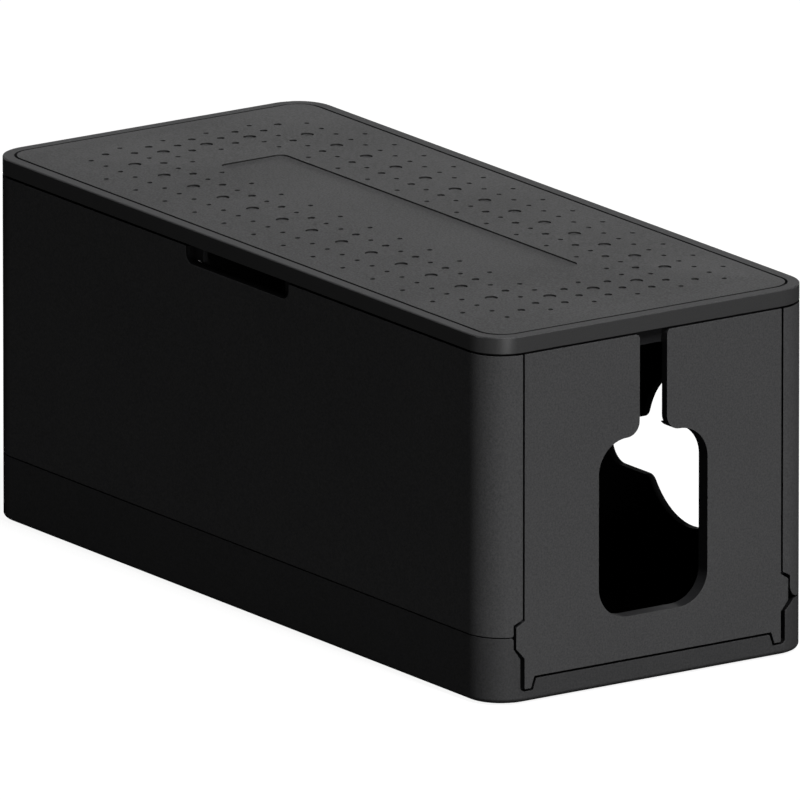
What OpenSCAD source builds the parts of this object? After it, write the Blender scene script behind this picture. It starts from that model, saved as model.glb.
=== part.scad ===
// Cable management box: a shallow base tray, two long walls that wrap the corners,
// two end panels locked between tray and walls, and a lift-off lid with a soft pad.
// X runs along the box, Y from front to back, Z up. The rubber feet stand on Z = 0.

/* [Body] */
// Length of the box, end face to end face
body_l = 340; // [320:1:380]
// Depth of the box, front face to back face
body_w = 149; // [142:1:180]
// Height of the box from the underside of the tray to the top of the walls
body_h = 136; // [131:0.5:160]
// Radius of the four upright corners
corner_r = 15; // [14:0.5:18]
// Thickness of the tray sides and of the long walls
wall_t = 3; // [2.8:0.1:3.4]
// Width of the seams round the end panels and under the lid
seam = 0.8; // [0.5:0.1:0.9]
// Width of the finer seams between the tray and the long walls
tray_seam = 0.4; // [0.3:0.1:0.5]
// Clearance between parts that slide into each other
fit = 0.3; // [0.2:0.05:0.4]

/* [Base tray] */
// Height of the tray's front, to the seam under the front wall
tray_h = 25.8; // [24.8:0.2:30]
// How much lower the seam at the back stands
back_drop = 4.5; // [4.5:0.5:6]
// Thickness of the tray floor
floor_t = 2.5; // [2.2:0.1:3.5]
// Radius of the rounded edge round its underside
tray_edge_r = 2; // [0.5:0.5:2]
// Height of the low sill under each end panel
sill_h = 8.8; // [8.2:0.2:9.8]
// Height of the upstand that laps inside the long walls
lap_h = 5; // [4:0.5:8]
// Thickness of that upstand
lap_t = 1.3; // [1:0.1:1.5]
// Radius of the tray's top corners beside the front ears
tray_ear_r = 1; // [0.5:0.5:2]
// How much wider the tray's notches for the back ears are
back_reach = 2.5; // [1:0.5:3]

/* [End panels] */
// Thickness of an end panel
panel_t = 3.6; // [3.2:0.1:4]
// Thickness of the tongue round its edge
tongue_t = 2.2; // [1.8:0.1:2.6]
// How far the tongue reaches in behind the panel's own edge
tongue_lap = 3.75; // [3:0.25:5]
// How far the tongue reaches out behind the long walls
tongue_reach = 4.25; // [3.5:0.25:4.5]
// Height of the tongue's bottom strip above the tray floor
tongue_strip_h = 9.5; // [8.5:0.5:11]
// Thickness of the ribs that back the tongue
rib_t = 2; // [1.6:0.1:2.4]
// Height of the rib across each end of the tray floor
tray_rib_h = 11; // [8:0.5:14]
// How far an ear stands out past the side of the panel
ear_out = 3.6; // [3:0.1:3.8]
// Height of the upright edge of an ear
ear_flat = 8.4; // [7:0.1:8.8]
// How far the middle of that edge stands below the front seam
ear_drop = 0.4; // [0:0.1:0.6]
// Height of the slanted edge above it
ear_rise = 2.2; // [1.5:0.1:4]
// Height of the slanted edge below it
ear_fall = 4.1; // [3:0.1:4.5]
// Gap round an ear
ear_gap = 1; // [0.8:0.1:1.2]
// Radius of the front wall's bottom corners beside the ears
front_ear_r = 1; // [0.5:0.5:2]
// Radius of the back wall's bottom corners beside the ears
back_ear_r = 5; // [3:0.5:5]
// Width of a locating tab at its tip
tab_w = 3; // [2.5:0.1:5]
// Slant of the tab's inner side, measured at its root
tab_slant = 1.5; // [1:0.1:2]
// How far a tab reaches down below the panel
tab_drop = 4.5; // [3.5:0.25:4.5]
// Gap on the outer side of a tab
tab_gap = 1.9; // [1.5:0.1:2]
// Radius of the pocket's corner on that side
pocket_r = 2; // [1:0.5:2]

/* [End cable openings] */
// Width of the opening
key_w = 50; // [44:1:56]
// Height of the opening
key_h = 70; // [60:1:76]
// Height of its lower edge above the underside of the tray
key_z = 26.3; // [20:0.1:30]
// Radius of its corners
key_r = 13; // [11:0.5:13]
// Width of the slot that leads up to the rim
slot_w = 12.5; // [8:0.5:12.5]
// Radius of the fillets between the slot and the opening
key_fillet = 6; // [4:0.5:6]
// Radius of the rounded mouth of the slot
mouth_r = 2; // [1:0.5:3]
// Depth of the collar round the opening, from the panel's outer face
collar_depth = 6; // [5:0.5:8]
// Thickness of the collar
collar_t = 2.4; // [1.8:0.1:3]

/* [Back cable ports] */
// Diameter of the round hole
port_d = 60; // [50:1:62]
// Distance of the round hole from the middle of the box
port_x = 89.7; // [86:0.1:92]
// Height of its centre above the underside of the tray
port_z = 60.4; // [60:0.1:66]
// Distance of the side slot's closed end from the middle of the box
port_slot_end = 36.3; // [30:0.1:40]
// Width of the side slot
port_slot_w = 21.5; // [18:0.5:24]
// Height of the side slot's centre line above the underside of the tray
port_slot_z = 55.7; // [54:0.1:60]
// Radius of the slot's closed corners
port_slot_r = 8.5; // [6:0.5:8.5]
// Radius of the fillets between the slot and the hole
port_fillet = 5; // [4:0.5:8]

/* [Finger notch] */
// Width of the notch in the front wall
notch_w = 67; // [50:1:90]
// Depth of the notch
notch_d = 5.4; // [4.8:0.1:5.6]
// Radius of its lower corners
notch_r = 3; // [2:0.5:4]
// Radius that rounds its edge over to the wall's outer face
notch_edge_r = 1.5; // [0.5:0.5:2]

/* [Snap tongues] */
// Distance of the outer snap tongues from the middle of the box
snap_x = 140; // [134:1:142]
// Width of a snap tongue
snap_w = 16; // [12:1:18]
// Thickness of a snap tongue
snap_t = 2; // [1.6:0.1:2.4]
// How far a snap tongue hangs below the seam
snap_drop = 11; // [10:0.5:14]
// How far its barb stands out
snap_barb = 1; // [0.8:0.1:1.2]

/* [Lid] */
// Height of the lid's rim
lid_h = 6.5; // [6:0.5:10]
// Radius of the lid's rounded top edge
lid_edge_r = 0.5; // [0.3:0.1:1.5]
// Thickness of the plate that carries the pad
plate_t = 2; // [1.8:0.1:2.5]
// Depth of the lid's locating lip below the rim
lip_h = 6.5; // [6.5:0.1:7]
// Thickness of that lip
lip_t = 2; // [1.6:0.1:2.4]
// Clearance between the lip and what it drops inside
lip_fit = 0.4; // [0.3:0.05:0.6]
// Depth of the seam under the lid, in to the step that the lid stands on
seam_depth = 1.4; // [1:0.1:1.8]
// Clearance between that step and the top of the walls
seat_gap = 0.1; // [0.1:0.05:0.3]
// How far the lip reaches in behind each end of the finger notch
lip_behind = 6; // [3:0.5:12]

/* [Lid pad] */
// Width of the rim round the pad's seat
rim_w = 4.5; // [4:0.1:5.5]
// Width of the groove between the rim and the pad
groove_w = 1; // [0.6:0.1:1.4]
// Depth of the pad's seat, and height of the pad at its edge
pad_t = 2; // [1.8:0.1:2.6]
// Rise of the crowned pad at its middle
crown = 1.5; // [1:0.1:2]
// Rise of the lengthwise arc that brings the crown down at the ends
crown_end = 2.2; // [2.1:0.1:3]
// Length of the plain sunken field
field_l = 200; // [180:1:206]
// Width of the plain sunken field
field_w = 30; // [20:1:31]
// Radius of its corners
field_r = 3.5; // [2:0.5:6]
// Depth of the plain sunken field
field_d = 0.6; // [0.4:0.1:0.8]
// Spacing of the dimple lattice
dimple_pitch = 10; // [9.9:0.1:10.3]
// Diameter of the large dimples
dimple_l = 5; // [4:0.5:6]
// Diameter of the middle dimples
dimple_m = 3; // [2.5:0.5:4]
// Diameter of the small dimples
dimple_s = 2; // [1:0.5:2.5]
// Depth of the dimples
dimple_d = 0.7; // [0.4:0.1:0.8]

/* [Feet] */
// Diameter of a rubber foot
foot_d = 14; // [10:0.5:18]
// How far a foot stands proud of the tray
foot_proud = 0.7; // [0.5:0.1:2]
// Depth of the recess that holds it
foot_recess = 1; // [0.6:0.1:1.2]
// Distance of a foot's centre from the end face
foot_in_x = 25; // [20:1:40]
// Distance of a foot's centre from the long face
foot_in_y = 19.5; // [14:0.5:30]

/* [Hidden] */
$fn = 96;
over = 1; // how far a cutting shape runs past the surface it cuts

// Heights above the floor that the box stands on
tray_z = foot_proud;
floor_z = tray_z + floor_t;
sill_z = tray_z + sill_h;
front_seam_z = tray_z + tray_h;
back_seam_z = front_seam_z - back_drop;
wall_top = tray_z + body_h;
lid_z = wall_top + seam;
lid_top = lid_z + lid_h;
lip_z = lid_z - lip_h;
seat_z = lid_top - pad_t;
plate_z = seat_z - plate_t;

// Half sizes in plan
end_x = body_l / 2;
side_y = body_w / 2;
split_y = side_y - corner_r; // the upright seams stand where the corner arcs begin
panel_y = split_y - seam / 2;
ear_y = panel_y + ear_out;
ear_z = front_seam_z - ear_drop;
ear_top = ear_z + ear_flat / 2;
ear_low = ear_z - ear_flat / 2;
notch_y = ear_y + ear_gap;
pocket_y = panel_y + tab_gap;
panel_z = sill_z + seam;
tab_z = panel_z - tab_drop;

// The tongue of an end panel and the ribs behind it
tongue_x = end_x - wall_t - fit;
tongue_back = tongue_x - tongue_t;
tongue_y = panel_y + tongue_reach;
rib_x = tongue_back - fit;
rib_y = split_y + seam / 2 + over;
rib_gap = 0.75; // the walls' ribs stay this far above the tray's upstand
rib_top = lip_z - over;

// The end openings
key_top = tray_z + key_z + key_h;
key_bend = min(key_fillet, (key_w - slot_w) / 2 - key_r);

// The lid's lip, its pad seat and the pad
lip_l = body_l - 2 * (panel_t + lip_fit);
lip_w = body_w - 2 * (wall_t + lip_fit);
lip_r = corner_r - wall_t - lip_fit;
seat_r = corner_r - rim_w;
pad_l = body_l - 2 * (rim_w + groove_w);
pad_w = body_w - 2 * (rim_w + groove_w);
pad_r = seat_r - groove_w;
bow_steps = 24; // flats that make up each bow of the crown
bend_bite = 0.02; // the ports' fillets bite this far into the round hole, so that the arcs cross

// The snap tongues, which hang inside the tray's sides
snap_out_y = side_y - wall_t - fit;
snap_in_y = snap_out_y - snap_t;
snap_root_h = 7;
barb_h = 3 * snap_barb;

// Heights that follow from a seam between tray and wall: the tray's top edge, the wall's bottom
// edge, the top of the tray's upstand, and the root and the tip of a snap tongue
function tray_top(seam_z) = seam_z - tray_seam / 2;
function wall_z(seam_z) = seam_z + tray_seam / 2;
function lap_top(seam_z) = tray_top(seam_z) + lap_h;
function snap_root_z(seam_z) = lap_top(seam_z) + rib_gap;
function snap_tip_z(seam_z) = wall_z(seam_z) - snap_drop;

// Height of a shallow bow over its chord, at t from -1 at one end to 1 at the other
function bow(rise, t) = rise * (1 - t * t);

// Top surface of the crowned pad
function crown_z(x, y) = lid_top + min(
    bow(crown, 2 * y / pad_w), bow(crown_end, 2 * x / pad_l));

// ---------- shapes that repeat ----------

// Rounded rectangle in the middle of the plane
module rounded_rect(l, w, r) {
    square([l - 2 * r, w], center = true);
    square([l, w - 2 * r], center = true);
    for (sx = [-1, 1], sy = [-1, 1])
        translate([sx * (l / 2 - r), sy * (w / 2 - r)]) circle(r = r);
}

// Outline of the box in plan, drawn in by inset all round
module outline(inset) {
    rounded_rect(body_l - 2 * inset, body_w - 2 * inset, corner_r - inset);
}

// What is left between a square corner at the origin and an arc of radius r in it
module spandrel(r) {
    difference() {
        translate([-over, -over]) square([r + over, r + over]);
        translate([r, r]) circle(r = r);
    }
}

// Upright prism of a shape in plan, from one height to another
module rise(z0, z1) {
    translate([0, 0, z0]) linear_extrude(height = z1 - z0) children();
}

// A profile drawn in Y and Z, run along X from one place to another
module along_x(x0, x1) {
    translate([x0, 0, 0]) rotate([90, 0, 90]) linear_extrude(height = x1 - x0) children();
}

// A profile drawn in X and Z, run along Y from one place to another
module along_y(y0, y1) {
    translate([0, y1, 0]) rotate([90, 0, 0]) linear_extrude(height = y1 - y0) children();
}

// Its children at both ends of the box
module both_ends() {
    children();
    mirror([1, 0, 0]) children();
}

// Its children at the front and at the back
module front_and_back() {
    children();
    mirror([0, 1, 0]) children();
}

// Section through a plate's edge, from a line corner_r inside it: its top corner is rounded
module edge_profile(inner, h, r) {
    translate([-inner, 0]) square([inner + corner_r, h - r]);
    translate([-inner, 0]) square([inner + corner_r - r, h]);
    translate([corner_r - r, h - r]) circle(r = r);
}

// A plate with the box's outline whose top edge is rounded
module rounded_plate(z0, z1, r) {
    long = body_l - 2 * corner_r;
    wide = body_w - 2 * corner_r;
    h = z1 - z0;
    translate([0, 0, z0]) {
        front_and_back() translate([0, wide / 2, 0])
            along_x(-long / 2, long / 2) edge_profile(wide / 2, h, r);
        both_ends() translate([long / 2, wide / 2, 0]) rotate([90, 0, 0])
            linear_extrude(height = wide) edge_profile(0, h, r);
        both_ends() front_and_back() translate([long / 2, wide / 2, 0])
            rotate_extrude(angle = 90) edge_profile(0, h, r);
    }
}

// ---------- base tray ----------

// What is cut from the tray's end wall to take the panel, its tab and its ear (back half);
// beside the ear the cut reaches out to the given line
module tray_end_cut(seam_z, reach) {
    high = lap_top(seam_z) + over;
    difference() {
        polygon([
            [-over, sill_z],
            [panel_y - tab_w - tab_slant - seam, sill_z],
            [panel_y - tab_w - seam, tab_z - seam],
            [pocket_y, tab_z - seam],
            [pocket_y, ear_low - ear_fall],
            [reach, ear_low],
            [reach, high],
            [-over, high]
        ]);
        translate([pocket_y, tab_z - seam]) mirror([1, 0]) spandrel(pocket_r);
    }
}

// Upstand along the inner half of the tray's side, which laps inside the long wall (back half)
module tray_lap(seam_z, r) {
    rise(tray_top(seam_z) - over, lap_top(seam_z)) intersection() {
        difference() {
            outline(wall_t - lap_t);
            outline(wall_t);
        }
        translate([-end_x, notch_y + r + over]) square([body_l, body_w]);
    }
}

// Pocket in the tray's side that a snap tongue's barb springs into
module barb_pocket(seam_z) {
    pocket_h = barb_h + 2 * snap_barb;
    for (x = [-snap_x, 0, snap_x])
        translate([x - snap_w / 2 - fit, snap_out_y, snap_tip_z(seam_z) - snap_barb])
            cube([snap_w + 2 * fit, snap_barb + 2 * fit, pocket_h]);
}

module base_tray() {
    color("#1c1c1d") difference() {
        union() {
            difference() {
                union() {
                    translate([0, 0, floor_z + over]) mirror([0, 0, 1])
                        rounded_plate(0, floor_t + over, tray_edge_r);
                    rise(floor_z, tray_top(back_seam_z)) outline(0);
                    rise(floor_z, tray_top(front_seam_z)) intersection() {
                        outline(0);
                        translate([-end_x, -side_y]) square([body_l, side_y]);
                    }
                }
                rise(floor_z, tray_top(front_seam_z) + over) outline(wall_t);
                both_ends() along_x(rib_x - rib_t, end_x + over) {
                    tray_end_cut(back_seam_z, notch_y + back_reach);
                    mirror([1, 0]) {
                        tray_end_cut(front_seam_z, notch_y);
                        translate([notch_y, tray_top(front_seam_z)])
                            mirror([0, 1]) spandrel(tray_ear_r);
                    }
                }
            }
            rise(floor_z - over, floor_z + tray_rib_h) both_ends() intersection() {
                translate([rib_x - rib_t, -side_y]) square([rib_t, body_w]);
                outline(wall_t / 2);
            }
            tray_lap(back_seam_z, back_ear_r);
            mirror([0, 1, 0]) tray_lap(front_seam_z, front_ear_r);
        }
        barb_pocket(back_seam_z);
        mirror([0, 1, 0]) barb_pocket(front_seam_z);
        for (sx = [-1, 1], sy = [-1, 1])
            translate([sx * (end_x - foot_in_x), sy * (side_y - foot_in_y), tray_z - over])
                cylinder(d = foot_d + 2 * fit, h = over + foot_recess);
    }
}

// ---------- long walls ----------

// What is cut from a long wall's end to clear the panel's ear (back half); r rounds the corner
module wall_end_cut(seam_z, r) {
    low = wall_z(seam_z);
    polygon([
        [0, low - over],
        [notch_y, low - over],
        [notch_y, ear_top + ear_gap],
        [split_y, ear_top + ear_rise + ear_gap],
        [0, ear_top + ear_rise + ear_gap]
    ]);
    translate([notch_y, low]) spandrel(r);
}

// Profile of a snap tongue, hanging from the wall's inner face
module snap_profile(seam_z) {
    root = snap_root_z(seam_z);
    root_top = root + snap_root_h;
    tip = snap_tip_z(seam_z);
    polygon([
        [side_y - wall_t / 2, root],
        [side_y - wall_t / 2, root_top + snap_t],
        [side_y - wall_t, root_top + snap_t],
        [snap_in_y, root_top],
        [snap_in_y, tip],
        [snap_out_y, tip],
        [snap_out_y + snap_barb, tip + barb_h - snap_barb],
        [snap_out_y + snap_barb, tip + barb_h],
        [snap_out_y, tip + barb_h],
        [snap_out_y, root]
    ]);
}

// A plain back wall on a seam at the given height, with its corners, ribs and snap tongues;
// r rounds its bottom corners beside the ears
module long_wall(seam_z, r) {
    difference() {
        rise(wall_z(seam_z), wall_top) intersection() {
            difference() {
                outline(0);
                outline(wall_t);
            }
            translate([-end_x, split_y + seam / 2]) square([body_l, body_w]);
        }
        rise(wall_z(seam_z) - over, lap_top(seam_z)) outline(wall_t - lap_t - fit / 2);
        both_ends() along_x(rib_x - rib_t, end_x + over) wall_end_cut(seam_z, r);
    }
    rise(lap_top(seam_z) + rib_gap, rib_top) both_ends() intersection() {
        translate([rib_x - rib_t, rib_y]) square([rib_t, body_w]);
        outline(wall_t / 2);
    }
    for (x = [-snap_x, 0, snap_x])
        along_x(x - snap_w / 2, x + snap_w / 2) snap_profile(seam_z);
}

// The notch for the fingertips, with the edge to the wall's outer face rounded over
module finger_notch() {
    low = wall_top - notch_d;
    bend_x = notch_w / 2 - notch_r;
    along_y(-side_y - over, -side_y + wall_t + over)
        translate([0, wall_top]) rounded_rect(notch_w, 2 * notch_d, notch_r);
    along_x(-bend_x, bend_x)
        translate([-side_y, low]) mirror([0, 1]) spandrel(notch_edge_r);
    both_ends() {
        rise(low + notch_r, wall_top + over)
            translate([notch_w / 2, -side_y]) spandrel(notch_edge_r);
        translate([bend_x, -side_y, low + notch_r]) rotate([-90, 0, 0])
            rotate_extrude(angle = 90) translate([notch_r, 0]) spandrel(notch_edge_r);
    }
}

module front_wall() {
    color("#19191a") difference() {
        mirror([0, 1, 0]) long_wall(front_seam_z, front_ear_r);
        finger_notch();
    }
}

// Fillet where an edge of the side slot runs out into the round hole: s is 1 above, -1 below
module port_bend(s) {
    edge = port_slot_z + s * port_slot_w / 2 - port_z;
    reach = port_d / 2 + port_fillet - bend_bite;
    cz = edge + s * port_fillet;
    cx = -sqrt(reach * reach - cz * cz);
    inner = 1 - (port_fillet + over) / reach;
    difference() {
        polygon([
            [cx, edge - s * over],
            [cx, cz],
            [cx * inner, cz * inner],
            [cx * inner, edge - s * over]
        ]);
        translate([cx, cz]) circle(r = port_fillet);
    }
}

// A cable port: a round hole for plugs that runs out into a side slot for the cables
module port_shape() {
    slot_l = port_x - port_slot_end;
    translate([port_x, tray_z + port_z]) {
        circle(d = port_d);
        translate([-slot_l / 2, port_slot_z - port_z]) {
            rounded_rect(slot_l, port_slot_w, port_slot_r);
        }
        port_bend(1);
        port_bend(-1);
    }
}

module back_wall() {
    color("#19191a") difference() {
        long_wall(back_seam_z, back_ear_r);
        both_ends() along_y(side_y - wall_t - over, side_y + over) port_shape();
    }
}

// ---------- end panels ----------

// One side of the panel's outline, from the root of its tab to its top corner
function panel_edge() = [
    [panel_y - tab_w - tab_slant, panel_z],
    [panel_y - tab_w, tab_z],
    [panel_y, tab_z],
    [panel_y, ear_low - ear_fall],
    [ear_y, ear_low],
    [ear_y, ear_top],
    [panel_y, ear_top + ear_rise],
    [panel_y, wall_top]
];

module panel_shape() {
    edge = panel_edge();
    other = [for (i = [len(edge) - 1 : -1 : 0]) [-edge[i][0], edge[i][1]]];
    polygon(concat(edge, other));
}

// The cable opening and the slot that leads from it up to the panel's top edge
module keyhole() {
    translate([0, key_top - key_h / 2]) rounded_rect(key_w, key_h, key_r);
    translate([-slot_w / 2, key_top - over])
        square([slot_w, wall_top - key_top + 2 * over]);
    for (s = [0, 1]) mirror([s, 0]) {
        translate([slot_w / 2, key_top]) spandrel(key_bend);
        translate([slot_w / 2, wall_top]) mirror([0, 1]) spandrel(mouth_r);
    }
}

// Tongue along the sides and the bottom, which runs in the channels of tray and walls
module panel_tongue() {
    intersection() {
        rise(floor_z, lip_z) outline(wall_t + fit);
        along_x(tongue_back, tongue_x) {
            translate([-tongue_y, floor_z]) square([2 * tongue_y, tongue_strip_h]);
            for (s = [0, 1]) mirror([s, 0])
                translate([panel_y - tongue_lap, floor_z])
                    square([tongue_lap + tongue_reach, lip_z - floor_z]);
        }
    }
}

module end_panel() {
    difference() {
        union() {
            intersection() {
                along_x(end_x - panel_t, end_x + over) panel_shape();
                rise(tray_z, wall_top) outline(0);
            }
            panel_tongue();
            along_x(end_x - collar_depth, end_x - panel_t / 2)
                translate([0, key_top - key_h / 2])
                    rounded_rect(key_w + 2 * collar_t, key_h + 2 * collar_t, key_r + collar_t);
        }
        along_x(tongue_back - panel_t, end_x + 2 * over) keyhole();
    }
}

module right_end_panel() {
    color("#222223") end_panel();
}

module left_end_panel() {
    color("#222223") mirror([1, 0, 0]) end_panel();
}

// ---------- lid ----------

module lid() {
    color("#262627") difference() {
        union() {
            rounded_plate(lid_z, lid_top, lid_edge_r);
            rise(wall_top + seat_gap, lid_z + over) outline(seam_depth);
            rise(lip_z, lid_z + over) rounded_rect(lip_l, lip_w, lip_r);
        }
        rise(seat_z, lid_top + over)
            rounded_rect(body_l - 2 * rim_w, body_w - 2 * rim_w, seat_r);
        rise(lip_z - over, plate_z)
            rounded_rect(lip_l - 2 * lip_t, lip_w - 2 * lip_t, lip_r - lip_t);
        rise(lip_z - over, wall_top + seat_gap)
            translate([lip_behind - notch_w / 2, -side_y])
                square([notch_w - 2 * lip_behind, side_y / 2]);
    }
}

// ---------- lid pad ----------

// Section under a shallow bow, from below the seat up to the bow
module bow_profile(chord, rise) {
    polygon(concat(
        [[chord / 2, seat_z - over], [-chord / 2, seat_z - over]],
        [for (i = [0 : bow_steps]) let (t = 2 * i / bow_steps - 1)
            [t * chord / 2, lid_top + bow(rise, t)]]
    ));
}

// Everything under the crowned surface, let down by drop
module crowned(drop) {
    translate([0, 0, -drop]) intersection() {
        along_x(-pad_l / 2, pad_l / 2) bow_profile(pad_w, crown);
        along_y(-pad_w / 2, pad_w / 2) bow_profile(pad_l, crown_end);
    }
}

// One dimple, sunk to an even depth below the crown
module dimple(x, y, d) {
    floor_h = crown_z(x, y) - dimple_d;
    translate([x, y, floor_h]) cylinder(d = d, h = crown + dimple_d + over, $fn = 24);
}

// A row of dimples at both sides of the middle, at the given steps of the lattice
module dimple_row(steps, row, d) {
    for (i = steps)
        dimple(i * dimple_pitch, row * dimple_pitch, d);
}

// The dimples fill a ring of rows round the plain field, in a repeat of two lattice steps
module dimples() {
    for (side = [-1, 1]) {
        dimple_row([-11 : 2 : 13], 6 * side, dimple_s);
        dimple_row([-13.5 : 1 : 14.5], 5 * side, dimple_s);
        dimple_row([-12 : 2 : 12], 4 * side, dimple_l);
        dimple_row([-14, 14], 4 * side, dimple_m);
        for (end = [-1, 1]) {
            dimple_row([for (i = [0.5 : 2 : 14.5]) end * i], 3 * side, dimple_s);
            dimple_row([for (i = [1.5 : 2 : 13.5]) end * i], 3 * side, dimple_m);
            dimple_row([for (i = [1 : 2 : 11]) end * i], 2 * side, dimple_s);
            dimple_row([12 * end], 2 * side, dimple_s);
            dimple_row([13 * end], 2 * side, dimple_l);
            dimple_row([14 * end], 2 * side, dimple_m);
            dimple_row([12.5 * end, 13.5 * end], side, dimple_m);
            dimple_row([14.5 * end], side, dimple_s);
        }
    }
    for (end = [-1, 1]) {
        dimple_row([12 * end], 0, dimple_s);
        dimple_row([13 * end], 0, dimple_l);
        dimple_row([14 * end], 0, dimple_m);
    }
}

module lid_pad() {
    color("#2b2b2c") difference() {
        intersection() {
            rise(seat_z, lid_top + crown + over) rounded_rect(pad_l, pad_w, pad_r);
            crowned(0);
        }
        difference() {
            rise(lid_top - field_d, lid_top + crown + over) rounded_rect(field_l, field_w, field_r);
            crowned(field_d);
        }
        dimples();
    }
}

// ---------- feet ----------

module foot(sx, sy) {
    color("#101010")
        translate([sx * (end_x - foot_in_x), sy * (side_y - foot_in_y), 0])
            cylinder(d = foot_d, h = foot_proud + foot_recess);
}

module foot_front_left() {
    foot(-1, -1);
}

module foot_front_right() {
    foot(1, -1);
}

module foot_back_left() {
    foot(-1, 1);
}

module foot_back_right() {
    foot(1, 1);
}

base_tray();
front_wall();
back_wall();
left_end_panel();
right_end_panel();
lid();
lid_pad();
foot_front_left();
foot_front_right();
foot_back_left();
foot_back_right();
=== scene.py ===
# %% [markdown]
# # A cable management box
# The box hides a power strip and its cables on a desk. It is a set of matt black mouldings: a shallow tray,
# two long walls that wrap the corners, two end panels with a keyhole opening for the cables, and a lift-off
# lid with a dimpled pad set in its top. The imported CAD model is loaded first, as a fixed frame: its solids,
# sizes and joints are right already, and nothing in it is moved. Blender adds the looks round it: the fine
# rounded edges of the mouldings, the plastics, the rubber, the light and the camera.

# %% Load the frame and measure the CAD model
import math

import bmesh
import bpy
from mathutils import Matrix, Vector


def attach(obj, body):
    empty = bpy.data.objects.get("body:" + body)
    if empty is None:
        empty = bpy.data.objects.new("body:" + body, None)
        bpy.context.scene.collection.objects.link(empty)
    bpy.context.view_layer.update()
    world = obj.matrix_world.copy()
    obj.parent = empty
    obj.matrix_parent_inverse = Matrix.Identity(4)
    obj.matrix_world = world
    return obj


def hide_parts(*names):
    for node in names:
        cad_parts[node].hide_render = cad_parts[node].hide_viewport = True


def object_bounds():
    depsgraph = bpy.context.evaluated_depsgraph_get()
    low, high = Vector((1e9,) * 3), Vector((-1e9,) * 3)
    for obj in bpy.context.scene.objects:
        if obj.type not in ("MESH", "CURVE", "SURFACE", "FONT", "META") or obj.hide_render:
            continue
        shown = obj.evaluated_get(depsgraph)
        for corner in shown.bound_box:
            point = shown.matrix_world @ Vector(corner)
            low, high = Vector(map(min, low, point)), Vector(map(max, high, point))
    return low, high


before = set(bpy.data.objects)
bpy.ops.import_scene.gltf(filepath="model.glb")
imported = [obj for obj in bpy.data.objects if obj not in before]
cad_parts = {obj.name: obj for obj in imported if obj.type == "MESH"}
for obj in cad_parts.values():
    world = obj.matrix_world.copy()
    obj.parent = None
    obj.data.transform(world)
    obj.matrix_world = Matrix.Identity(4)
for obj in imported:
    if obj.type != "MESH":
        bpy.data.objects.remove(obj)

MM = 0.001
cad_low, cad_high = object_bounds()
print("CAD box in mm:", [round(v / MM, 2) for v in cad_high - cad_low])

# %% [markdown]
# ## Two small helpers for the materials
# A colour is easiest to choose as an sRGB hex value, as a colour picker shows it, but shaders work in linear
# light. One function turns the one into the other. Shader trees are built by one more function, which adds
# a node, gives it its settings and joins its inputs to the nodes made before it.

# %% Colour and node helpers
def linear(hex_colour):
    """An sRGB hex colour such as "3b3b3c" as linear RGBA."""
    shares = [int(hex_colour[i:i + 2], 16) / 255 for i in (0, 2, 4)]
    return [s / 12.92 if s <= 0.04045 else ((s + 0.055) / 1.055) ** 2.4 for s in shares] + [1.0]


def add_node(tree, kind, values=None, links=None, **properties):
    """Adds a node. values fill its sockets, links join its sockets, properties are its own settings."""
    node = tree.nodes.new(kind)
    for name, value in properties.items():
        setattr(node, name, value)
    for socket, value in (values or {}).items():
        node.inputs[socket].default_value = value
    for socket, source in (links or {}).items():
        tree.links.new(source, node.inputs[socket])
    return node


print("mid grey 808080 is", round(linear("808080")[0], 3), "in linear light")

# %% [markdown]
# ## The plastics
# The hard parts are moulded in ABS. The steel mould is spark eroded, which leaves a fine even grain: it
# scatters light, so the faces look matt, and it shows as a soft speckle. An image of the grain would do, but
# it would have to be unwrapped on every part. Noise nodes need no unwrapping and can be set by real sizes.
# They read Object coordinates, so the pattern stays on its piece when the lid moves.
#
# Real grain is about 0.1 mm wide, too fine to see at this distance, so it is drawn a few times coarser. A
# second, much broader noise shifts the tone a little over the faces, as flow in the mould and handling do.

# %% A moulded, spark-eroded plastic
FLOW_MM = 70.0          # width of the broad shift in tone
FLOW_SHARE = 0.12       # its share of the pattern, the rest being grain
GLOSS_RANGE = 0.05      # how far the roughness goes up and down with the grain
GRAIN_STRENGTH = 0.6    # share of the grain's depth that the bump shows
SHEEN_ROUGHNESS = 0.4
ABS_IOR = 1.52


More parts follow.
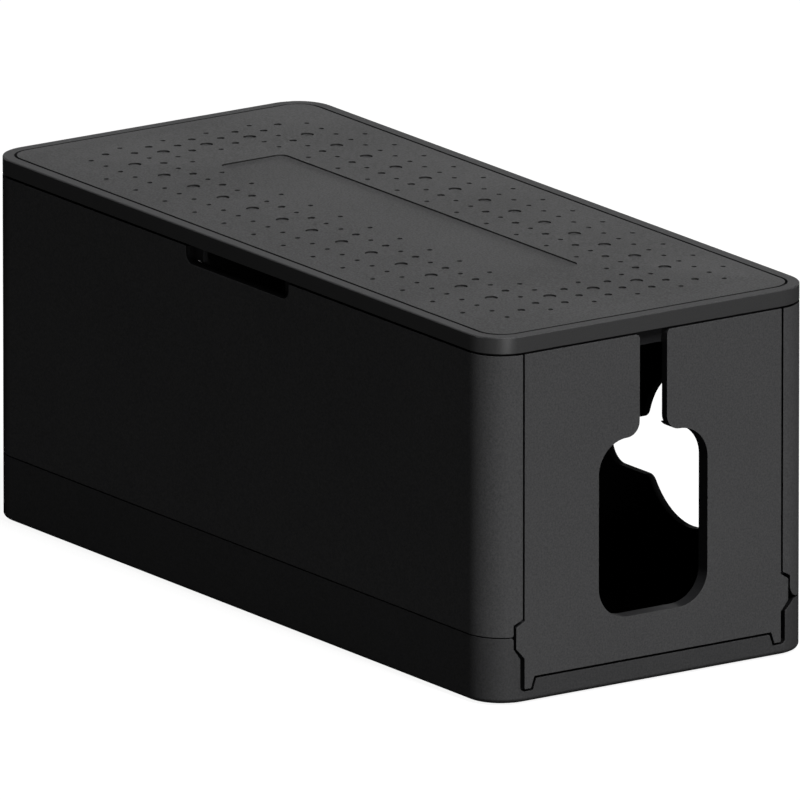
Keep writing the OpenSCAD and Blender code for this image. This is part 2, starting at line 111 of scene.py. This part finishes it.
def moulded_plastic(name, light, dark, roughness, grain_mm, grain_depth_mm, spread=0.2, ior=ABS_IOR, sheen=0.0):
    """Matt plastic with a fine grain. light and dark are the tones of its high and low spots, and a small
    spread takes more of the surface all the way to one of them."""
    material = bpy.data.materials.new(name)
    material.use_nodes = True
    tree = material.node_tree
    tree.nodes.clear()
    place = add_node(tree, "ShaderNodeTexCoord").outputs["Object"]
    grain = add_node(
        tree, "ShaderNodeTexNoise", {"Scale": 1 / (grain_mm * MM), "Detail": 2.0, "Roughness": 0.6}, {"Vector": place}
    ).outputs["Fac"]
    flow = add_node(
        tree, "ShaderNodeTexNoise", {"Scale": 1 / (FLOW_MM * MM), "Detail": 1.0}, {"Vector": place}
    ).outputs["Fac"]
    blend = add_node(
        tree, "ShaderNodeMix", {"Factor": FLOW_SHARE}, {"A": grain, "B": flow}, data_type="FLOAT"
    ).outputs[0]
    tone = add_node(tree, "ShaderNodeValToRGB", links={"Fac": blend})
    low, high = tone.color_ramp.elements
    low.position, low.color = 0.5 - spread, linear(dark)
    high.position, high.color = 0.5 + spread, linear(light)
    gloss = add_node(
        tree, "ShaderNodeMapRange",
        {"To Min": roughness - GLOSS_RANGE, "To Max": roughness + GLOSS_RANGE}, {"Value": grain},
    ).outputs["Result"]
    bump = add_node(
        tree, "ShaderNodeBump", {"Strength": GRAIN_STRENGTH, "Distance": grain_depth_mm * MM}, {"Height": grain}
    )
    shader = add_node(
        tree, "ShaderNodeBsdfPrincipled", {"IOR": ior, "Sheen Weight": sheen, "Sheen Roughness": SHEEN_ROUGHNESS},
        {"Base Color": tone.outputs["Color"], "Roughness": gloss, "Normal": bump.outputs["Normal"]},
    )
    add_node(tree, "ShaderNodeOutputMaterial", links={"Surface": shader.outputs["BSDF"]})
    print("made", name)
    return material


# %% [markdown]
# ### The outer skins
# Black plastic is never quite black: what the eye calls black here is a dark grey that turns paler towards
# the light. Each moulding comes from its own mould, so each gets its own batch of the same plastic. The
# walls and end panels are the palest and roughest, the tray is a little deeper and smoother.
#
# The lid has two skins. Its upright sides are a fine satin, smooth enough for the rounded corners to catch a
# narrow highlight, and an IOR above that of plain ABS makes that highlight clear. Its flat rim is grained
# again, and a sheen makes it paler where it is seen at a low angle, as very fine grain does.

# %% Finishes of the faces that the eroded part of the mould makes
wall_abs = moulded_plastic(
    "spark_eroded_abs_walls", "535354", "3d3d3e", roughness=0.72, grain_mm=0.7, grain_depth_mm=0.02
)
panel_abs = moulded_plastic(
    "spark_eroded_abs_end_panels", "525253", "3c3c3d", roughness=0.72, grain_mm=0.7, grain_depth_mm=0.02
)
tray_abs = moulded_plastic(
    "spark_eroded_abs_tray", "464647", "333334", roughness=0.65, grain_mm=0.7, grain_depth_mm=0.02
)
lid_abs = moulded_plastic(
    "fine_satin_abs_lid", "464647", "393939", roughness=0.38, grain_mm=0.5, grain_depth_mm=0.01, ior=1.8
)
rim_abs = moulded_plastic(
    "spark_eroded_abs_rim", "4a4a4b", "2e2e2f", roughness=0.55, grain_mm=0.6, grain_depth_mm=0.03, sheen=0.36
)

# %% [markdown]
# ### Inside and on the cut edges
# Only the outer faces of the mould are eroded, so only they get the grain. Inside, in the channels and along
# the edges of the openings the colour is painted shade: a near-black inside and a very dark grey on the cut
# edges, which stand in for the shade that falls there, so that every seam and opening reads as a clean dark
# line. The lower IOR of the inside takes away the faint gloss that would show deep in the box.

# %% Painted shade for the inside and the cut edges
# near-black: painted shade inside the box, in its channels and in its seams
inside_painted_shade = moulded_plastic(
    "abs_inside_painted_shade", "0f0f10", "0a0a0b", roughness=0.7, grain_mm=0.6, grain_depth_mm=0.004, ior=1.25
)
# very dark grey: painted shade on the cut edges of the openings
cut_edge_painted_shade = moulded_plastic(
    "abs_cut_edges_painted_shade", "28282a", "1e1e1f", roughness=0.45, grain_mm=0.6, grain_depth_mm=0.004
)

# %% [markdown]
# ### Pad and feet
# The pad is a soft-touch thermoplastic elastomer, TPE. It is grained more strongly than the hard plastic, and
# its skin has a faint bloom that a sheen gives: the pad turns paler the lower the angle it is seen at. The
# steep walls of its recesses get a near-black colour, painted shade that stands in for the shade in each
# dimple, so each dimple reads as a crisp dark crescent. The feet are plain matt rubber with the coarsest
# grain.

# %% Finishes of the soft parts
pad_tpe = moulded_plastic(
    "soft_touch_tpe_pad", "5c5c5d", "121212", roughness=0.55, grain_mm=0.75, grain_depth_mm=0.035,
    spread=0.14, sheen=0.38,
)
# near-black walls of the pad's recesses: painted shade in the dimples
recess_painted_shade = moulded_plastic(
    "tpe_pad_recesses_painted_shade", "0d0d0d", "080808", roughness=0.7, grain_mm=0.6, grain_depth_mm=0.01
)
foot_rubber = moulded_plastic(
    "epdm_rubber_feet", "202021", "161617", roughness=0.75, grain_mm=0.8, grain_depth_mm=0.04
)

# %% [markdown]
# ## Where each finish goes
# A moulding carries two or three finishes, so each of its faces has to be told apart. Picking faces by hand
# would be lost whenever the CAD model changes. A rule does it instead, from where a face lies: it is outer
# skin if it is on the outline of the box in plan, or under the tray, and it is rim if it is the lid's flat
# top or the first bit of the edge round it. All other faces get a dark colour that is painted shade, for the
# shade inside the box, in its seams and in its openings. The number that a rule returns is the place of the
# finish in the piece's list of materials.

# %% The rule for the hard mouldings
# the middle finish is the dark colour painted as shade in hollows, seams and openings
GRAINED, PAINTED_SHADE, RIM = 0, 1, 2
CORNER_RADIUS = 15 * MM      # of the box's upright corners
SKIN_DEPTH = 0.08 * MM       # a face this close to the outline is outer skin
LID_REACH = 2 * MM           # only the lid ends this close below the top of the box
RIM_EDGE = 0.6 * MM          # how far the rim's finish runs on round the edge of the lid
RIM_FLAT = 0.05 * MM         # a face this close to the lid's top is the flat of the rim
TRAY_START = 1 * MM          # only the tray starts this close to the floor
UNDERSIDE_RISE = 2.1 * MM    # how far up the tray's rounded underside comes
SIDEWAYS = 0.1               # a normal that rises less than this points sideways or down


def depth_in_plan(x, y):
    """How far a point lies inside the outline of the box, seen from above."""
    past_x = abs(x) - (cad_high.x - CORNER_RADIUS)
    past_y = abs(y) - (cad_high.y - CORNER_RADIUS)
    return CORNER_RADIUS - math.hypot(max(past_x, 0), max(past_y, 0)) - min(max(past_x, past_y), 0)


def moulding_finish(face, low, high):
    """Which finish a face of a hard moulding has, low and high being the moulding's span in height."""
    middle = face.calc_center_median()
    depth = depth_in_plan(middle.x, middle.y)
    if high > cad_high.z - LID_REACH:
        if middle.z > high - RIM_EDGE and depth < RIM_EDGE or middle.z > high - RIM_FLAT:
            return RIM
    if depth < SKIN_DEPTH:
        return GRAINED
    if low < TRAY_START and middle.z < low + UNDERSIDE_RISE and face.normal.z < SIDEWAYS:
        return GRAINED
    return PAINTED_SHADE


print("a long side is", round(depth_in_plan(0, 0) / MM, 2), "mm from the middle of the box")

# %% [markdown]
# ## The mouldings
# No moulded part has a knife edge: the cutter that makes the mould leaves a radius of a few tenths of a
# millimetre, and that thin round edge is what catches the light. The CAD solids have the right shapes with
# sharp edges, so each visible moulding starts from a copy of its solid. The copy's loose triangles are
# merged, flat areas become single faces again, and every sharp edge is beveled. A Bevel modifier could round
# them too, but the finishes are chosen face by face, so the bevel has to be in the mesh. The solid itself
# stays for collision, and the copy stands for it.
#
# First comes what every finished mesh needs: smooth shading that stops at the sharp edges, normals weighted
# by face area so that flat faces stay flat right up to a bevel, and its place in the moving model.

# %% Turn a mesh into a piece of the box
CREASE_ANGLE = math.radians(50)


def dressed(mesh, name, materials, body, node):
    """An object of this mesh, smooth shaded, on its body, standing for its CAD node."""
    for material in materials:
        mesh.materials.append(material)
    mesh.shade_smooth()
    mesh.set_sharp_from_angle(angle=CREASE_ANGLE)
    piece = bpy.data.objects.new(name, mesh)
    bpy.context.scene.collection.objects.link(piece)
    normals = piece.modifiers.new("weighted_normals", "WEIGHTED_NORMAL")
    normals.keep_sharp = True
    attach(piece, body)
    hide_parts(node)
    print(name, "has", len(mesh.polygons), "faces")
    return piece


# %% Copy a CAD node and round its edges
MERGE_DISTANCE = 0.001 * MM
FLAT_ANGLE = math.radians(0.4)    # faces that meet more flatly than this become one
EDGE_ANGLE = math.radians(35)     # edges that turn more than this are rounded


def rounded_copy(node, radius_mm, materials, body, name, segments=2, finish=None):
    """A merged copy of a CAD node with its sharp edges rounded, which stands for the node."""
    bm = bmesh.new()
    bm.from_mesh(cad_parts[node].data)
    bmesh.ops.remove_doubles(bm, verts=bm.verts, dist=MERGE_DISTANCE)
    bmesh.ops.dissolve_limit(bm, angle_limit=FLAT_ANGLE, verts=bm.verts, edges=bm.edges)
    low, high = min(vert.co.z for vert in bm.verts), max(vert.co.z for vert in bm.verts)
    sharp = [edge for edge in bm.edges if edge.calc_face_angle(0) > EDGE_ANGLE]
    bmesh.ops.bevel(
        bm, geom=sharp, offset=radius_mm * MM, offset_type="OFFSET", affect="EDGES",
        segments=segments, profile=0.5, material=-1, clamp_overlap=False,
    )
    bmesh.ops.remove_doubles(bm, verts=bm.verts, dist=MERGE_DISTANCE)
    if finish:
        for face in bm.faces:
            face.material_index = finish(face, low, high)
    mesh = bpy.data.meshes.new(name)
    bm.to_mesh(mesh)
    bm.free()
    return dressed(mesh, name, materials, body, node)


# %% Tray, walls, end panels and lid
MOULD_RADIUS_MM = 0.15

for node, finishes, body, slot, name in (
    ("base_tray", [tray_abs, inside_painted_shade], "box", "shell", "tray_moulding"),
    ("front_wall", [wall_abs, inside_painted_shade], "box", "shell", "front_wall_moulding"),
    ("back_wall", [wall_abs, inside_painted_shade], "box", "shell", "back_wall_moulding"),
    ("right_end_panel", [panel_abs, cut_edge_painted_shade], "box", "panel", "right_panel_moulding"),
    ("left_end_panel", [panel_abs, cut_edge_painted_shade], "box", "panel", "left_panel_moulding"),
    ("lid", [lid_abs, cut_edge_painted_shade, rim_abs], "lid", "lid", "lid_moulding"),
):
    rounded_copy(node, MOULD_RADIUS_MM, finishes, body, name, finish=moulding_finish)

# %% [markdown]
# ## The dimpled pad
# The pad is crowned a little, with a plain sunken field in the middle and a lattice of dimples in three sizes
# round it. A bump map could draw the dimples, but they would vanish from the side and from the exported
# mesh. They are real hollows in the solid, so the copy only needs a finer radius than the hard parts: a
# larger one would eat into the smallest dimples. Its rule for the finishes looks at the slope of a face.

# %% Copy the pad and pick out its recess walls
PAD_RADIUS_MM = 0.08
STEEP = 0.8    # a face whose normal rises less than this is the wall of a recess or the pad's side


def pad_finish(face, low, high):
    """The pad is grained where it faces up, and the steep walls of its recesses get painted shade."""
    return GRAINED if face.normal.z > STEEP else PAINTED_SHADE


rounded_copy("lid_pad", PAD_RADIUS_MM, [pad_tpe, recess_painted_shade], "lid", "dimpled_pad", finish=pad_finish)

# %% [markdown]
# ## The rubber feet
# Four round feet are pressed into recesses under the tray. Moulded rubber is soft at its edges, so they get
# the largest radius, in more steps so that it looks round. One finish covers them, so they need no rule.

# %% Copy the feet
FOOT_RADIUS_MM = 0.4
FOOT_STEPS = 4

for side in ("front_left", "front_right", "back_left", "back_right"):
    rounded_copy(
        f"foot_{side}", FOOT_RADIUS_MM, [foot_rubber], "box", f"rubber_foot_{side}", segments=FOOT_STEPS
    )

# %% [markdown]
# ## The floor
# The box stands on a plain white floor. A floor that is truly white would also be a large lamp: its bounce
# would wash out the deep black of the long side. So its white is meant for the camera alone. Light Path's Is
# Camera Ray tells the two uses apart. To the camera the floor glows, over a little grey paper that keeps the
# shadow of the box, and to the box it is dark. From below it is clear, so that the feet can be looked at.

# %% Make the floor
FLOOR_GLOW = 0.92      # the white that the camera sees
FLOOR_PAPER = 0.2      # the paper that takes the shadow
FLOOR_DARK = 0.035     # the floor that the box sees
FLOOR_RADIUS = 3.0
FLOOR_SIDES = 96


def grey(level):
    """A neutral colour of this level in linear light."""
    return [level, level, level, 1.0]


def studio_floor():
    """White to the camera, where it keeps the shadow, dark to the box, and clear from below."""
    material = bpy.data.materials.new("white_studio_floor")
    material.use_nodes = True
    tree = material.node_tree
    tree.nodes.clear()
    ray = add_node(tree, "ShaderNodeLightPath")
    paper = add_node(tree, "ShaderNodeBsdfDiffuse", {"Color": grey(FLOOR_PAPER)})
    glow = add_node(tree, "ShaderNodeEmission", {"Strength": FLOOR_GLOW})
    white = add_node(tree, "ShaderNodeAddShader", links={0: paper.outputs["BSDF"], 1: glow.outputs["Emission"]})
    dark = add_node(tree, "ShaderNodeBsdfDiffuse", {"Color": grey(FLOOR_DARK)})
    seen = add_node(
        tree, "ShaderNodeMixShader",
        links={0: ray.outputs["Is Camera Ray"], 1: dark.outputs["BSDF"], 2: white.outputs["Shader"]},
    )
    clear = add_node(tree, "ShaderNodeBsdfTransparent")
    below = add_node(tree, "ShaderNodeNewGeometry").outputs["Backfacing"]
    both = add_node(
        tree, "ShaderNodeMixShader", links={0: below, 1: seen.outputs["Shader"], 2: clear.outputs["BSDF"]}
    )
    add_node(tree, "ShaderNodeOutputMaterial", links={"Surface": both.outputs["Shader"]})
    return material


bm = bmesh.new()
bmesh.ops.create_circle(bm, cap_ends=True, segments=FLOOR_SIDES, radius=FLOOR_RADIUS)
floor_mesh = bpy.data.meshes.new("floor")
bm.to_mesh(floor_mesh)
bm.free()
floor_mesh.materials.append(studio_floor())
floor = bpy.data.objects.new("floor", floor_mesh)
bpy.context.scene.collection.objects.link(floor)
print("floor of", FLOOR_RADIUS, "m radius")

# %% [markdown]
# ## The world
# The world works the same way as the floor. It is white to the camera and very dark to the box, so that the
# shape of each face comes from the lamps. Glossy rays see it a little brighter, which gives the satin faces
# a faint even reflection instead of a hole.

# %% Light the world
AMBIENT = 0.006      # what lights the box
SKY_SHEEN = 0.04     # what glossy faces reflect

world = bpy.data.worlds.new("studio")
bpy.context.scene.world = world
world.use_nodes = True
tree = world.node_tree
tree.nodes.clear()
ray = add_node(tree, "ShaderNodeLightPath")
level = add_node(
    tree, "ShaderNodeMapRange", {"To Min": AMBIENT, "To Max": SKY_SHEEN}, {"Value": ray.outputs["Is Glossy Ray"]}
).outputs["Result"]
ambient = add_node(tree, "ShaderNodeBackground", {"Color": grey(1.0)}, {"Strength": level})
white = add_node(tree, "ShaderNodeBackground", {"Color": grey(1.0), "Strength": 1.0})
sky = add_node(
    tree, "ShaderNodeMixShader",
    links={0: ray.outputs["Is Camera Ray"], 1: ambient.outputs["Background"], 2: white.outputs["Background"]},
)
add_node(tree, "ShaderNodeOutputWorld", links={"Surface": sky.outputs["Shader"]})
print("world:", AMBIENT, "to the box,", SKY_SHEEN, "to gloss, 1 to the camera")

# %% [markdown]
# ## The lamps
# Three softboxes light the box. The key is a tall one, high up and just behind square to the right end: it
# lights the end and the top, and leaves the long front nearly black. A weak one stands low behind the box and
# skims over the pad. A small strip stands far out at the height of the box, on the side of the near corner,
# and is there for the thin highlight on the upright corner of the lid.
#
# A lamp's power in watts says little about how bright a face will look, because it depends on the distance.
# So each lamp is set by the level that it gives: 1 makes a white face that is turned to it look white.

# %% Hang the softboxes
BOX_MIDDLE = (cad_low + cad_high) / 2


def direction(azimuth, elevation):
    """From the box to a place round it, angles in degrees: azimuth 0 is the front and 90 the right end."""
    a, e = math.radians(azimuth), math.radians(elevation)
    return Vector((math.sin(a) * math.cos(e), -math.cos(a) * math.cos(e), math.sin(e)))


def softbox(name, azimuth, elevation, distance, width, height, level):
    """An area lamp aimed at the box. level is the light that a white face square to it would show."""
    lamp = bpy.data.lights.new(name, "AREA")
    lamp.shape = "RECTANGLE"
    lamp.size, lamp.size_y = width, height
    lamp.energy = level * math.pi ** 2 * distance ** 2
    towards = direction(azimuth, elevation)
    holder = bpy.data.objects.new(name, lamp)
    holder.location = BOX_MIDDLE + towards * distance
    holder.rotation_mode = "QUATERNION"
    holder.rotation_quaternion = (-towards).to_track_quat("-Z", "Y")
    holder.visible_camera = False
    bpy.context.scene.collection.objects.link(holder)
    print(name, "at", [round(v, 2) for v in holder.location])


softbox("key_softbox", azimuth=91, elevation=55, distance=4.0, width=0.5, height=2.4, level=0.94)
softbox("back_softbox", azimuth=235, elevation=5, distance=4.0, width=1.6, height=0.4, level=0.034)
softbox("corner_strip", azimuth=69, elevation=1.5, distance=8.0, width=0.8, height=0.35, level=0.14)

# %% [markdown]
# ## The camera
# The box is seen from its front right corner, a little from above, and its long edges look parallel, which
# makes its shape easy to read. An orthographic camera would do that exactly. A very long lens, far away,
# comes close to it and is still a lens, so the camera can be moved round the box like any other.

# %% Place the camera
CAMERA_AZIMUTH, CAMERA_ELEVATION = 55.482, 15.122    # degrees
CAMERA_DISTANCE = 14.4125
AIM_HEIGHT = 72.37 * MM
AIM_RIGHT, AIM_UP = 0.578 * MM, -0.26 * MM           # a small shift across the view
LENS_MM, SENSOR_MM = 1700, 36
CLIP_NEAR, CLIP_FAR = 1, 60

back = direction(CAMERA_AZIMUTH, CAMERA_ELEVATION)
right = Vector((math.cos(math.radians(CAMERA_AZIMUTH)), math.sin(math.radians(CAMERA_AZIMUTH)), 0))
aim = Vector((0, 0, AIM_HEIGHT)) + right * AIM_RIGHT + back.cross(right) * AIM_UP
lens = bpy.data.cameras.new("long_lens")
lens.lens, lens.sensor_width = LENS_MM, SENSOR_MM
lens.clip_start, lens.clip_end = CLIP_NEAR, CLIP_FAR
camera = bpy.data.objects.new("camera", lens)
camera.location = aim + back * CAMERA_DISTANCE
camera.rotation_mode = "QUATERNION"
camera.rotation_quaternion = (-back).to_track_quat("-Z", "Y")
bpy.context.scene.collection.objects.link(camera)
bpy.context.scene.camera = camera
bpy.context.scene.view_settings.view_transform = "Standard"
print("camera at", [round(v, 2) for v in camera.location])
